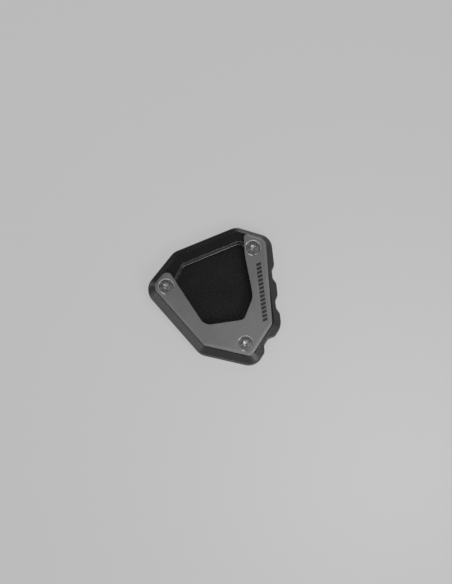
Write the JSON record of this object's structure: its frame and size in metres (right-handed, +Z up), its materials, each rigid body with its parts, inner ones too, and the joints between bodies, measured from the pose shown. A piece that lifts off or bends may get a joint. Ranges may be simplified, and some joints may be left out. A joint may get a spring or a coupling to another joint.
{
  "type": "kickstand foot enlarger",
  "caption": "Wide chamfered pad with scalloped notches and a pocket for a side stand's foot, with a U-shaped clamp plate and countersunk socket screws.",
  "frame": {"origin": "middle of the base plate's outline, on its underside", "axes": "+X to the right arm, +Y to the open rear side, +Z up from the ground"},
  "size_m": [0.0906, 0.0944, 0.014],
  "materials": {
    "base": "satin black anodised",
    "clamp": "satin grey anodised",
    "screws": "turned stainless steel"
  },
  "bodies": {
    "root": {"base_plate": "base", "clamp_plate": "clamp", "left_screw": "screws", "front_screw": "screws", "rear_screw": "screws"}
  },
  "joints": []
}
